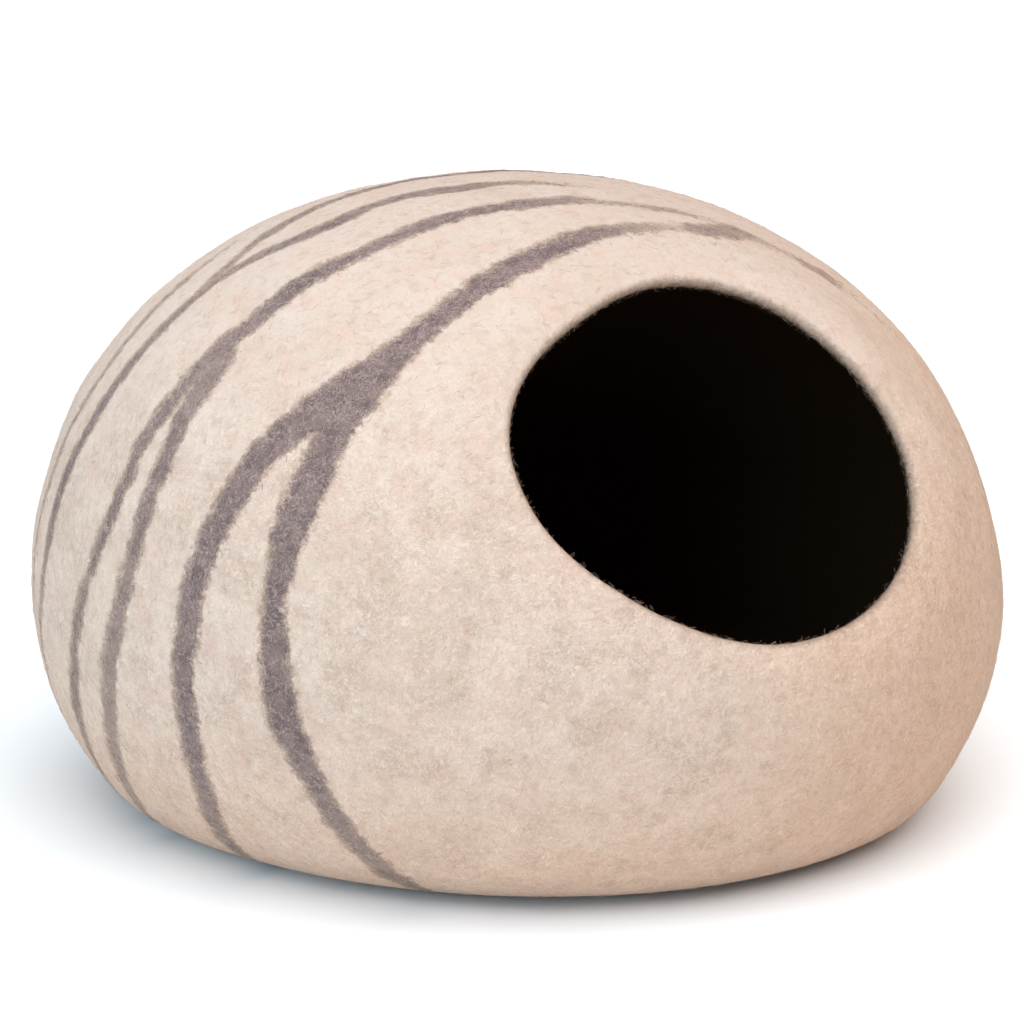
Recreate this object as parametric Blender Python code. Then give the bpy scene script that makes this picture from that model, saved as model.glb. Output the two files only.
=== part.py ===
"""Felt cat cave: one seamless, hollow shell of thick wool felt with a round doorway in its side.

The outer face is a squashed ball that has settled on a broad flat foot, leans a little to one side and
swells unevenly, as felt shaped by hand does. The wall keeps one thickness all over. It ends at the doorway
in a rounded lip that rolls inward.

Frame: metres, +Z up, origin on the floor under the middle of the shell, doorway facing -Y.
"""

import math
from typing import NamedTuple

import bmesh
import bpy
from mathutils import Vector

# Body, before its swells
WIDTH = 0.480  # across the widest ring
WIDEST_LEVEL = 0.1155  # height of the widest ring above the floor
CROWN_RISE = 0.200  # from the widest ring to the top
CROWN_FULLNESS = 2.1  # exponent of the upper profile: 2 is an ellipse, more is boxier
BELLY_FULLNESS = 2.0  # the same for the lower profile
FOOT_RADIUS = 0.182  # where the lower profile would meet the floor in a sharp corner
FOOT_EASING = 0.023  # half the height over which the belly eases into the flat foot
LEAN_X = -0.049  # sideways drift for each metre of height
LEAN_Y = 0.022
WALL = 0.007

# Doorway, cut around an axis that leaves the middle of the widest ring
DOOR_TILT = math.radians(24.2)  # of the axis above the horizontal
DOOR_RADIUS = 0.095
LIP_CURL = 0.004  # how far the lip rolls inward
LIP_REACH = 0.028  # width of the band that rolls inward

# Mesh
SEGMENTS = 64  # around the doorway's axis
RINGS = 28  # from the lip to the back
RING_CROWDING = 1.3  # over 1 crowds the rings towards the lip
LIP_STEPS = 5  # around the lip's half-round edge
WIDEST_RIM = math.radians(80)  # off the doorway's axis, where the search for the rim begins
HALVINGS = 30  # of that search
PROBE = 0.001  # step, in radians, for slopes

NODE = "felt_shell"
FELT_COLOUR = (0.74, 0.63, 0.55, 1)
FELT_ROUGHNESS = 0.95

Ring = list[bmesh.types.BMVert]


class Swell(NamedTuple):
    """A soft bulge or hollow of the body, placed as seen from the middle of its widest ring."""

    azimuth: float  # degrees from the doorway's side, towards +X
    elevation: float  # degrees above the widest ring
    amount: float  # share of the radius, negative for a hollow


class Lobe(NamedTuple):
    """A wave around the doorway's rim: one wave shifts the rim, two make it oval, more make it uneven."""

    waves: int
    share: float  # of the doorway's radius
    crest: float  # degrees around the doorway from its +X side, towards its top


SWELL_SPREAD = math.radians(30)
SWELLS = [
    Swell(azimuth=47, elevation=-56, amount=0.050),
    Swell(azimuth=68, elevation=10, amount=-0.035),
    Swell(azimuth=79, elevation=48, amount=-0.015),
    Swell(azimuth=-152, elevation=71, amount=-0.013),
    Swell(azimuth=-119, elevation=20, amount=0.007),
    Swell(azimuth=-110, elevation=-20, amount=0.060),
    Swell(azimuth=-100, elevation=-50, amount=0.061),
    Swell(azimuth=160, elevation=5, amount=0.012),
    Swell(azimuth=130, elevation=40, amount=-0.008),
]

DOOR_LOBES = [
    Lobe(waves=1, share=0.042, crest=30),
    Lobe(waves=2, share=0.072, crest=-12),
    Lobe(waves=3, share=0.022, crest=-55),
    Lobe(waves=4, share=0.015, crest=-12),
]

# The doorway's axis, the +X side of its plane and the upward side
DOOR_AXIS = Vector((0, -math.cos(DOOR_TILT), math.sin(DOOR_TILT)))
DOOR_SIDE = Vector((1, 0, 0))
DOOR_UP = DOOR_AXIS.cross(DOOR_SIDE)
BODY_MIDDLE = Vector((0, 0, WIDEST_LEVEL))


def direction_of(azimuth: float, elevation: float) -> Vector:
    """Return the unit direction at an azimuth from -Y towards +X and an elevation, both in degrees."""
    turn = math.radians(azimuth)
    rise = math.radians(elevation)
    return Vector((math.cos(rise) * math.sin(turn), -math.cos(rise) * math.cos(turn), math.sin(rise)))


SWELL_DIRECTIONS = [direction_of(swell.azimuth, swell.elevation) for swell in SWELLS]


def belly_drop() -> float:
    """Return how deep the lower profile would reach with no floor, for its foot to have FOOT_RADIUS."""
    foot_share = FOOT_RADIUS / (WIDTH / 2)
    return WIDEST_LEVEL / (1 - foot_share**BELLY_FULLNESS) ** (1 / BELLY_FULLNESS)


def settled(height: float) -> float:
    """Return a height pressed onto the floor, with a smooth ease from the belly into the flat foot."""
    if height > FOOT_EASING:
        return height
    if height < -FOOT_EASING:
        return 0.0
    return (height + FOOT_EASING) ** 2 / (4 * FOOT_EASING)


def swell_at(direction: Vector) -> float:
    """Return the factor by which the swells stretch the body in a direction."""
    return 1 + sum(
        swell.amount * math.exp(-((direction.angle(middle) / SWELL_SPREAD) ** 2))
        for swell, middle in zip(SWELLS, SWELL_DIRECTIONS)
    )


def body_point(direction: Vector) -> Vector:
    """Return the body's outer point in a unit direction from the middle of its widest ring."""
    if direction.z > 0:
        rise, fullness = CROWN_RISE, CROWN_FULLNESS
    else:
        rise, fullness = belly_drop(), BELLY_FULLNESS
    level_share = math.hypot(direction.x, direction.y) / (WIDTH / 2)
    rise_share = abs(direction.z) / rise
    reach = swell_at(direction) / (level_share**fullness + rise_share**fullness) ** (1 / fullness)
    height = settled(direction.z * reach + WIDEST_LEVEL)
    above = height - WIDEST_LEVEL
    return Vector((direction.x * reach + LEAN_X * above, direction.y * reach + LEAN_Y * above, height))


def door_direction(around: float, off_axis: float) -> Vector:
    """Return the unit direction at two angles: around the doorway's axis, and away from that axis."""
    outward = DOOR_SIDE * math.cos(around) + DOOR_UP * math.sin(around)
    return DOOR_AXIS * math.cos(off_axis) + outward * math.sin(off_axis)


def rim_radius(around: float) -> float:
    """Return the rim's distance from the doorway's axis at an angle around it."""
    waves = (lobe.share * math.cos(lobe.waves * (around - math.radians(lobe.crest))) for lobe in DOOR_LOBES)
    return DOOR_RADIUS * (1 + sum(waves))


def rim_angle(around: float) -> float:
    """Return the angle off the doorway's axis at which the body reaches the rim's radius."""
    low, high = 0.0, WIDEST_RIM
    for _ in range(HALVINGS):
        middle = (low + high) / 2
        offset = body_point(door_direction(around, middle)) - BODY_MIDDLE
        from_axis = (offset - DOOR_AXIS * offset.dot(DOOR_AXIS)).length
        if from_axis < rim_radius(around):
            low = middle
        else:
            high = middle
    return (low + high) / 2


def body_normal(direction: Vector) -> Vector:
    """Return the body's outward normal at the point that lies in a direction."""
    across = direction.orthogonal().normalized()
    along = direction.cross(across)
    here = body_point(direction)
    slope_across = body_point((direction + across * PROBE).normalized()) - here
    slope_along = body_point((direction + along * PROBE).normalized()) - here
    return slope_across.cross(slope_along).normalized()


def outer_point(around: float, off_axis: float, rim: float) -> Vector:
    """Return a point of the outer face, with the band next to the rim rolled inward."""
    direction = door_direction(around, off_axis)
    point = body_point(direction)
    from_rim = (off_axis - rim) * (point - BODY_MIDDLE).length
    if from_rim >= LIP_REACH:
        return point
    return point - body_normal(direction) * LIP_CURL * (1 - from_rim / LIP_REACH) ** 2


def outer_rings() -> list[list[Vector]]:
    """Return the outer face's rings of points, from the doorway's rim to the ring next to the back."""
    turns = [2 * math.pi * segment / SEGMENTS for segment in range(SEGMENTS)]
    rims = [rim_angle(around) for around in turns]
    rings = []
    for ring in range(RINGS):
        share = (ring / RINGS) ** RING_CROWDING
        rings.append(
            [outer_point(around, rim + (math.pi - rim) * share, rim) for around, rim in zip(turns, rims)]
        )
    return rings


def add_ring(mesh: bmesh.types.BMesh, points: list[Vector]) -> Ring:
    """Add a ring's points to a mesh."""
    return [mesh.verts.new(point) for point in points]


def bridge(mesh: bmesh.types.BMesh, first: Ring, second: Ring) -> None:
    """Join two rings with quads that face outward where the second ring lies behind the first."""
    for index, vertex in enumerate(first):
        following = (index + 1) % len(first)
        mesh.faces.new((vertex, second[index], second[following], first[following]))


def close(mesh: bmesh.types.BMesh, ring: Ring, tip: bmesh.types.BMVert) -> None:
    """Close a ring with a fan of triangles that face outward where the tip lies behind the ring."""
    for index, vertex in enumerate(ring):
        mesh.faces.new((vertex, tip, ring[(index + 1) % len(ring)]))


def lip_points(outer: list[Ring], step: int) -> list[Vector]:
    """Return one ring of the lip's half-round edge, between the outer face and the inner one."""
    turn = math.pi * step / LIP_STEPS
    points = []
    for edge, behind in zip(outer[0], outer[1]):
        towards_door = edge.co - behind.co
        towards_door -= edge.normal * towards_door.dot(edge.normal)
        towards_door.normalize()
        middle = edge.co - edge.normal * WALL / 2
        points.append(middle + (edge.normal * math.cos(turn) + towards_door * math.sin(turn)) * WALL / 2)
    return points


def stand_centred(shell: bmesh.types.BMesh) -> None:
    """Move the shell so that the origin lies on the floor under the middle of its box."""
    across = [vertex.co.x for vertex in shell.verts]
    deep = [vertex.co.y for vertex in shell.verts]
    middle = Vector((min(across) + max(across), min(deep) + max(deep), 0)) / 2
    bmesh.ops.translate(shell, verts=shell.verts, vec=-middle)


def build_shell_mesh() -> bpy.types.Mesh:
    """Build the shell: the outer face, the same face set in by the wall, and the lip that joins them."""
    shell = bmesh.new()
    outer = [add_ring(shell, ring) for ring in outer_rings()]
    back = shell.verts.new(body_point(-DOOR_AXIS))
    for first, second in zip(outer, outer[1:]):
        bridge(shell, first, second)
    close(shell, outer[-1], back)
    shell.normal_update()

    inner = [add_ring(shell, [vertex.co - vertex.normal * WALL for vertex in ring]) for ring in outer]
    inner_back = shell.verts.new(back.co - back.normal * WALL)
    for first, second in zip(inner, inner[1:]):
        bridge(shell, second, first)
    close(shell, inner[-1][::-1], inner_back)

    lip = [outer[0]] + [add_ring(shell, lip_points(outer, step)) for step in range(1, LIP_STEPS)] + [inner[0]]
    for first, second in zip(lip, lip[1:]):
        bridge(shell, second, first)

    stand_centred(shell)
    shell.normal_update()
    mesh = bpy.data.meshes.new(NODE)
    shell.to_mesh(mesh)
    shell.free()
    return mesh


def felt_material() -> bpy.types.Material:
    """Return the undyed wool's plain matt material."""
    material = bpy.data.materials.new("cream_wool_felt")
    material.use_nodes = True
    surface = material.node_tree.nodes["Principled BSDF"]
    surface.inputs["Base Color"].default_value = FELT_COLOUR
    surface.inputs["Roughness"].default_value = FELT_ROUGHNESS
    surface.inputs["Metallic"].default_value = 0
    return material


def main() -> None:
    """Clear the scene and model the cave."""
    for item in list(bpy.data.objects):
        bpy.data.objects.remove(item)
    mesh = build_shell_mesh()
    mesh.shade_smooth()
    mesh.materials.append(felt_material())
    shell = bpy.data.objects.new(NODE, mesh)
    bpy.context.scene.collection.objects.link(shell)


main()
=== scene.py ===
"""Looks of a felt cat cave: a seamless shell of wool felt, its felted-in dark bands and its loose fibres.

Frame: metres, +Z up, origin on the floor under the middle of the shell, doorway facing -Y. Two angles place
what is on the shell: the turn around the doorway's axis, from its +X side over its top, and the angle off
that axis, from the doorway to the back.
"""

from __future__ import annotations

import logging
import math
from dataclasses import dataclass
from enum import Enum

import bpy
import numpy as np
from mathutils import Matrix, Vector, noise

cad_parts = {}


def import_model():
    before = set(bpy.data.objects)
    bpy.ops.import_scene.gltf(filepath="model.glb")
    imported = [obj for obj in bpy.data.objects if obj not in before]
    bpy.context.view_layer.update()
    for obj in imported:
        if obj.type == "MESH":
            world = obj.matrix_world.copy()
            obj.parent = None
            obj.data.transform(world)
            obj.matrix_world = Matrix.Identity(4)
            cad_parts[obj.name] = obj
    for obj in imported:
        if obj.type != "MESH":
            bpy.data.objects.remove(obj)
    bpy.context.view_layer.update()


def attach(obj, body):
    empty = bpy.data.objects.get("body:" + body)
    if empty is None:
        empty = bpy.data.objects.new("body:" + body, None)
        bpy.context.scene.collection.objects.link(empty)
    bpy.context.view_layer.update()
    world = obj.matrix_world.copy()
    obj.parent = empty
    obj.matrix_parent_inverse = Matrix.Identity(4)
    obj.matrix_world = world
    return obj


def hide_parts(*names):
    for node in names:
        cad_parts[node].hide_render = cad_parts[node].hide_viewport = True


LOG = logging.getLogger("felt_cat_cave")

SHELL_NODE = "felt_shell"
ROOT = "root"

# Values that the shell's mesh carries at each point
OVER_LIP = "over_lip"  # how far the point lies over the lip, below zero on the outer face
BAND_DEPTH = "band_depth"  # how far it lies inside the nearest band
FIBRE_SHARE = "fibre_share"  # how thickly loose fibres grow there

Triple = tuple[float, float, float]
Colour = Triple
Pair = tuple[float, float]
Step = Pair  # where a smooth step leaves 0, and where it reaches 1
Socket = bpy.types.NodeSocket


class Region(Enum):
    """A part of the shell on which one kind of loose fibre grows."""

    FRONT = "front"
    BACK = "back"
    BANDS = "bands"
    LIP = "lip"


@dataclass(frozen=True)
class Swell:
    """A soft bulge or hollow of the body, placed as seen from the middle of its widest ring."""

    azimuth: float  # degrees from the doorway's side, towards +X
    elevation: float  # degrees above the widest ring
    amount: float  # share of the radius, negative for a hollow

    def direction(self) -> np.ndarray:
        """Point to the swell's middle.

        Returns:
            The unit direction.
        """
        turn, rise = math.radians(self.azimuth), math.radians(self.elevation)
        level = math.cos(rise)
        return np.array((level * math.sin(turn), -level * math.cos(turn), math.sin(rise)))


@dataclass(frozen=True)
class Lobe:
    """A wave around the doorway's rim: one wave shifts the rim, two make it oval, more make it uneven."""

    waves: int
    share: float  # of the doorway's radius
    crest: float  # degrees around the doorway


@dataclass(frozen=True)
class Stop:
    """A place on a band's course."""

    around: float  # degrees around the doorway's axis
    off_axis: float  # degrees off the doorway's axis
    half_width: float  # millimetres
    strength: float = 1.0  # how fully the dark wool covers the cream there


@dataclass(frozen=True)
class Band:
    """A band of dark wool, laid round the doorway's axis before felting."""

    name: str
    course: tuple[tuple[float, ...], ...]  # the values of each stop

    def column(self, key: str) -> np.ndarray:
        """Return the values under one name of every stop, in order of the turn around the doorway."""
        stops = sorted((Stop(*values) for values in self.course), key=lambda stop: stop.around)
        return np.array([getattr(stop, key) for stop in stops])

    def attribute(self) -> str:
        """Return the name under which the shell's mesh carries the band's values."""
        return f"band_{self.name}"


@dataclass(frozen=True)
class BodyForm:
    """The body's outer face: a squashed ball, settled on a flat foot, that leans and swells unevenly."""

    width: float = 0.480
    widest_level: float = 0.1155
    crown_rise: float = 0.200
    crown_fullness: float = 2.1
    belly_fullness: float = 2.0
    foot_radius: float = 0.182
    foot_easing: float = 0.023
    lean: Pair = (-0.049, 0.022)
    swell_spread: float = math.radians(30)
    swells: tuple[Swell, ...] = (
        Swell(azimuth=47, elevation=-56, amount=0.050),
        Swell(azimuth=68, elevation=10, amount=-0.035),
        Swell(azimuth=79, elevation=48, amount=-0.015),
        Swell(azimuth=-152, elevation=71, amount=-0.013),
        Swell(azimuth=-119, elevation=20, amount=0.007),
        Swell(azimuth=-110, elevation=-20, amount=0.060),
        Swell(azimuth=-100, elevation=-50, amount=0.061),
        Swell(azimuth=160, elevation=5, amount=0.012),
        Swell(azimuth=130, elevation=40, amount=-0.008),
    )

    def middle(self) -> np.ndarray:
        """Return the middle of the widest ring."""
        return np.array((0.0, 0.0, self.widest_level))

    def belly_drop(self) -> float:
        """Return how deep the lower profile would reach with no floor."""
        foot_share = self.foot_radius / (self.width / 2)
        return self.widest_level / (1 - foot_share**self.belly_fullness) ** (1 / self.belly_fullness)

    def settled(self, height: np.ndarray) -> np.ndarray:
        """Press heights onto the floor, with a smooth ease from the belly into the flat foot."""
        eased = (height + self.foot_easing) ** 2 / (4 * self.foot_easing)
        return np.where(height > self.foot_easing, height, np.where(height < -self.foot_easing, 0.0, eased))

    def swelling(self, directions: np.ndarray) -> np.ndarray:
        """Return the factor by which the swells stretch the body.

        Args:
            directions: Unit directions from the middle of the widest ring.

        Returns:
            One factor for each direction.
        """
        factor = np.ones(directions.shape[:-1])
        for swell in self.swells:
            angle = np.arccos(np.clip(directions @ swell.direction(), -1, 1))
            factor += swell.amount * np.exp(-((angle / self.swell_spread) ** 2))
        return factor

    def points(self, directions: np.ndarray) -> np.ndarray:
        """Return the body's outer points.

        Args:
            directions: Unit directions from the middle of the widest ring.

        Returns:
            One point for each direction.
        """
        above = directions[..., 2] > 0
        rise = np.where(above, self.crown_rise, self.belly_drop())
        fullness = np.where(above, self.crown_fullness, self.belly_fullness)
        level_share = np.hypot(directions[..., 0], directions[..., 1]) / (self.width / 2)
        rise_share = np.abs(directions[..., 2]) / rise
        reach = self.swelling(directions) / (level_share**fullness + rise_share**fullness) ** (1 / fullness)
        height = self.settled(directions[..., 2] * reach + self.widest_level)
        drift = (height - self.widest_level)[..., None] * np.array(self.lean)
        return np.concatenate((directions[..., :2] * reach[..., None] + drift, height[..., None]), axis=-1)


@dataclass(frozen=True)
class Doorway:
    """The doorway: an uneven oval around an axis that leaves the middle of the widest ring."""

    tilt: float = math.radians(24.2)
    radius: float = 0.095
    widest_rim: float = math.radians(80)
    halvings: int = 30
    lobes: tuple[Lobe, ...] = (
        Lobe(waves=1, share=0.042, crest=30),
        Lobe(waves=2, share=0.072, crest=-12),
        Lobe(waves=3, share=0.022, crest=-55),
        Lobe(waves=4, share=0.015, crest=-12),
    )

    def axis(self) -> np.ndarray:
        """Return the unit direction in which the doorway faces."""
        return np.array((0.0, -math.cos(self.tilt), math.sin(self.tilt)))

    def directions(self, around: np.ndarray, off_axis: np.ndarray) -> np.ndarray:
        """Return unit directions at two angles.

        Args:
            around: Turns around the doorway's axis, in radians.
            off_axis: Angles off that axis, in radians.

        Returns:
            One direction for each pair of angles.
        """
        side = np.array((1.0, 0.0, 0.0))
        up = np.cross(self.axis(), side)
        outward = np.cos(around)[..., None] * side + np.sin(around)[..., None] * up
        return np.cos(off_axis)[..., None] * self.axis() + np.sin(off_axis)[..., None] * outward

    def rim_angles(self, around: np.ndarray, body: BodyForm) -> np.ndarray:
        """Return the angle off the axis at which the body reaches the rim.

        Args:
            around: Turns around the doorway's axis, in radians.
            body: The body that the doorway is cut into.

        Returns:
            One angle for each turn.
        """
        waves = sum(
            lobe.share * np.cos(lobe.waves * (around - math.radians(lobe.crest))) for lobe in self.lobes
        )
        radius = self.radius * (1 + waves)
        low, high = np.zeros_like(around), np.full_like(around, self.widest_rim)
        for _ in range(self.halvings):
            tried = (low + high) / 2
            offset = body.points(self.directions(around, tried)) - body.middle()
            from_axis = np.linalg.norm(offset - (offset @ self.axis())[..., None] * self.axis(), axis=-1)
            inside = from_axis < radius
            low, high = np.where(inside, tried, low), np.where(inside, high, tried)
        return (low + high) / 2


# The courses are listed. The sixth's far end, the eighth and every stretch over the back are guessed.
BANDS = (
    Band("first", (
        (232, 68, 5, 0.7), (220, 63.5, 6.5, 0.75), (210, 59.8, 6.8, 0.85), (200, 56.5, 8.4),
        (195, 54.4, 7.2), (190, 52.2, 5.8), (185, 49.9, 6.8), (180, 47.3, 8.2), (175, 45.1, 8.6),
        (170, 43.2, 8.4), (160, 39.3, 8.4), (150, 36.5, 7), (140, 34, 5.4), (130, 32.7, 6.6), (120, 32, 7),
        (110, 31.8, 6.8), (100, 32.5, 6.2), (90, 33.6, 5, 0.75), (80, 34.5, 5, 0.5), (75, 35, 4.4, 0.45),
        (70, 36, 6, 0.65), (64, 37.8, 7.5, 0.65), (58.5, 40.8, 7.5, 0.55), (52, 41.5, 5, 0.35),
        (45, 41, 6, 0.4), (40, 41.4, 7, 0.55), (36, 42, 5, 0.25), (26, 43, 3, 0.15), (18, 44, 0, 0),
    )),
    Band("second", (
        (235, 97, 5, 0.7), (213, 83.4, 5.6, 0.7), (210, 81.1, 6, 0.75), (205, 76, 6.5, 0.8),
        (200, 72.1, 6.4, 0.9), (195, 68.6, 6.2), (190, 65.1, 6.2), (185, 61.9, 6.2), (180, 58.4, 7),
        (175, 54.3, 7), (170, 50.4, 7.6), (166, 46.6, 8.8), (162, 43.4, 8.8), (156, 39.8, 6),
        (149, 36.8, 0),
    )),
    Band("third", (
        (222, 106, 5, 0.6), (206, 98.5, 5.5, 0.6), (200, 92.6, 5.6, 0.6), (195, 86.6, 5.8, 0.65),
        (190, 80.6, 6.2, 0.7), (185, 75.6, 6, 0.75), (180, 71.3, 5.6, 0.75), (175, 68.1, 5.2, 0.85),
        (170, 65.4, 5.2, 0.9), (165, 63.1, 5.6, 0.85), (160, 60.9, 7.2, 0.75), (156, 59.5, 8.6, 0.75),
        (154, 59.2, 8.4, 0.75), (152.6, 59.1, 5, 0.85), (150, 57.9, 5.6, 0.9), (145, 55.6, 6, 0.95),
        (140, 53.6, 6.4), (135, 51.4, 5.6, 0.9), (130, 49.5, 5.2, 0.8), (123, 48, 6.2, 0.85),
        (117, 46.9, 5.8, 0.9), (110, 45.3, 5.2, 0.8), (103, 43.9, 6, 0.85), (97, 43.4, 5.8, 0.7),
        (90, 42.9, 5, 0.6), (85, 41.9, 3.8, 0.45), (80, 41, 3.8, 0.5), (70, 41.1, 3.8, 0.5),
        (64, 41.3, 3, 0.25), (56, 41.4, 0, 0.2),
    )),
    Band("fourth", (
        (214, 118, 4.5, 0.4), (204, 106.5, 4.8, 0.5), (195, 97.6, 5, 0.6), (190, 92, 5, 0.7),
        (185, 86, 4.6, 0.8), (180, 80.9, 4, 0.85), (175, 75.3, 3.8, 0.9), (170, 71.4, 4.2, 0.85),
        (165, 68.4, 4.7, 0.85), (160, 64.6, 5.6, 0.8), (156, 62.2, 5.6, 0.8), (152, 60.4, 4.6, 0.8),
        (147, 57.6, 0, 0.8),
    )),
    Band("fifth", (
        (215, 126, 4, 0.3), (200, 113, 4.2, 0.3), (190, 105.5, 4.2, 0.3), (182, 98.8, 4.4, 0.35),
        (176, 93.2, 5, 0.55), (170, 88.8, 5.4, 0.8), (160, 81.6, 5.4, 0.9), (155, 78, 5, 0.85),
        (150, 74.8, 5, 0.85), (145, 72.3, 4.2, 0.8), (141, 70.6, 4, 0.75), (137, 67.8, 4.4, 0.8),
        (133, 64.6, 5.2, 0.8), (128.5, 61.8, 6, 0.9), (124, 60.5, 6.2, 0.85), (118, 60.2, 5.6, 0.75),
        (112, 58.2, 7.6, 0.75), (105, 56, 8.4, 0.75), (99, 54.9, 7, 0.6), (94, 52.9, 6, 0.5),
        (88, 49.8, 4.6, 0.3), (82, 47.5, 0, 0.15),
    )),
    Band("sixth", (
        (147, 73, 0, 0.6), (142, 71.4, 3.6, 0.6), (136, 71.1, 4.6, 0.6), (130, 71.5, 5.8, 0.7),
        (124, 71.3, 7.2, 0.7), (116, 70.6, 6, 0.65), (108, 70, 5.4, 0.8), (98, 68, 5, 0.9), (88, 68, 6.2),
        (78, 66.5, 5.4, 0.9), (66, 69.5, 6, 0.75), (54, 74, 4.4, 0.55), (38, 85, 0, 0.2),
    )),
    Band("seventh", (
        (178, 102, 3, 0.3), (170, 96.5, 3.6, 0.4), (165, 92.6, 3.8, 0.45), (160, 89.8, 4.2, 0.55),
        (155, 86.4, 4.2, 0.5), (150, 83.3, 4.6, 0.5), (145, 81, 4.6, 0.55), (140, 79.3, 4.8, 0.5),
        (135, 78.8, 4, 0.4), (129, 79, 3, 0.25), (122, 79.6, 0, 0.1),
    )),
    Band("eighth", (
        (205, 148, 5, 0.5), (195, 139, 6.2, 0.7), (182, 128, 5, 0.9), (172, 121, 6.4), (160, 111, 8),
        (150, 105, 6.2), (138, 101, 5.4, 0.9), (126, 98, 6.8), (114, 94, 7.6), (102, 94, 5.8, 0.9),
        (92, 92, 6.6, 0.8), (80, 95, 7.4, 0.9), (68, 98, 5.2, 0.7), (56, 103, 4.6, 0.5), (42, 114, 0, 0.2),
    )),
)


def smooth_through(at: np.ndarray, places: np.ndarray, values: np.ndarray) -> np.ndarray:
    """Read a smooth curve that passes through given values.

    Args:
        at: Where to read the curve.
        places: Rising places of the given values.
        values: The given values.

    Returns:
        The curve's values, held level beyond its two ends.
    """
    slopes = np.gradient(values, places)
    at = np.clip(at, places[0], places[-1])
    index = np.clip(np.searchsorted(places, at) - 1, 0, len(places) - 2)
    span = places[index + 1] - places[index]
    share = (at - places[index]) / span
    rest = 1 - share
    return (
        values[index] * rest**2 * (1 + 2 * share)
        + values[index + 1] * share**2 * (3 - 2 * share)
        + slopes[index] * span * share * rest**2
        - slopes[index + 1] * span * share**2 * rest
    )


def placed(name: str, data: bpy.types.ID) -> bpy.types.Object:
    """Put data into the scene.

    Args:
        name: The object's name.
        data: The object's mesh, light or camera.

    Returns:
        The object, at the origin.
    """
    item = bpy.data.objects.new(name, data)
    bpy.context.scene.collection.objects.link(item)
    return item


class Nodes:
    """A short way to add and link nodes of one tree."""

    def __init__(self, tree: bpy.types.NodeTree) -> None:
        """Keep the tree."""
        self.tree = tree

    def add(self, kind: str, settings: dict[str, object] | None = None, **inputs: object) -> bpy.types.Node:
        """Add a node.

        Args:
            kind: The node's type name.
            settings: Values of the node's own properties.
            inputs: A value or a socket for each input, named with underscores for spaces.

        Returns:
            The new node.
        """
        node = self.tree.nodes.new(kind)
        for name, value in (settings or {}).items():
            setattr(node, name, value)
        for name, value in inputs.items():
            self.feed(node.inputs[name.replace("_", " ")], value)
        return node

    def feed(self, socket: Socket, value: object) -> None:
        """Link a socket to an input, or set the input's value.

        Args:
            socket: The input.
            value: The socket or the value.
        """
        if isinstance(value, Socket):
            self.tree.links.new(value, socket)
        else:
            socket.default_value = value

    def math(self, operation: str, *values: object, clamp: bool = False) -> Socket:
        """Add a Math node.

        Args:
            operation: The node's operation.
            values: A number or a socket for each input.
            clamp: Whether to keep the result between 0 and 1.

        Returns:
            The node's output.
        """
        node = self.add("ShaderNodeMath", {"operation": operation, "use_clamp": clamp})
        for socket, value in zip(node.inputs, values):
            self.feed(socket, value)
        return node.outputs[0]

    def ramp(self, value: Socket, low: object, high: object) -> Socket:
        """Turn a value into a smooth step, which leaves 0 at a low value and reaches 1 at a high one."""
        settings = {"interpolation_type": "SMOOTHSTEP"}
        return self.add("ShaderNodeMapRange", settings, Value=value, From_Min=low, From_Max=high).outputs[0]

    def mix(self, share: object, first: object, second: object, blend: str = "MIX") -> Socket:
        """Mix two colours.

        Args:
            share: How much of the second colour shows.
            first: A colour or a socket.
            second: A colour or a socket.
            blend: The blend type.

        Returns:
            The mixed colour.
        """
        node = self.add("ShaderNodeMix", {"data_type": "RGBA", "blend_type": blend})
        for socket, value in ((node.inputs[0], share), (node.inputs[6], first), (node.inputs[7], second)):
            if isinstance(value, tuple) and len(value) == 3:
                value = (*value, 1.0)
            self.feed(socket, value)
        return node.outputs[2]


class FinishNodes(Nodes):
    """Nodes of a finish, with the place on the piece that its patterns follow."""

    def __init__(self, name: str) -> None:
        """Start a material.

        Args:
            name: The material's name.
        """
        self.material = bpy.data.materials.new(name)
        self.material.use_nodes = True
        super().__init__(self.material.node_tree)
        self.surface = self.tree.nodes["Principled BSDF"].inputs
        self.place = self.add("ShaderNodeTexCoord").outputs["Object"]

    def grain(self, scale: float, detail: float, place: Socket | None = None) -> Socket:
        """Add soft noise around 0.5, at a scale in cycles for each metre and with finer layers."""
        inputs = {"Scale": scale, "Detail": detail, "Roughness": 0.6}
        return self.add("ShaderNodeTexNoise", Vector=place or self.place, **inputs).outputs["Fac"]

    def waver(self, scale: float) -> Socket:
        """Add soft noise around 0, at a scale in cycles for each metre."""
        return self.math("SUBTRACT", self.grain(scale, 3), 0.5)


@dataclass(frozen=True)
class Patches:
    """Wool of another shade, mixed into the cream in patches."""

    scale: float  # cycles for each metre
    step: Step  # of the noise
    strength: float
    tint: Colour


@dataclass(frozen=True)
class FeltGrain:
    """What the felt's colours and its relief share."""

    rough: Socket  # how roughly the place is felted, from 0 to 1
    flecks: Socket
    pebbles: Socket  # small curls
    fibres: Socket  # 1 on a fibre's mark
    fray: Socket


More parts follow.
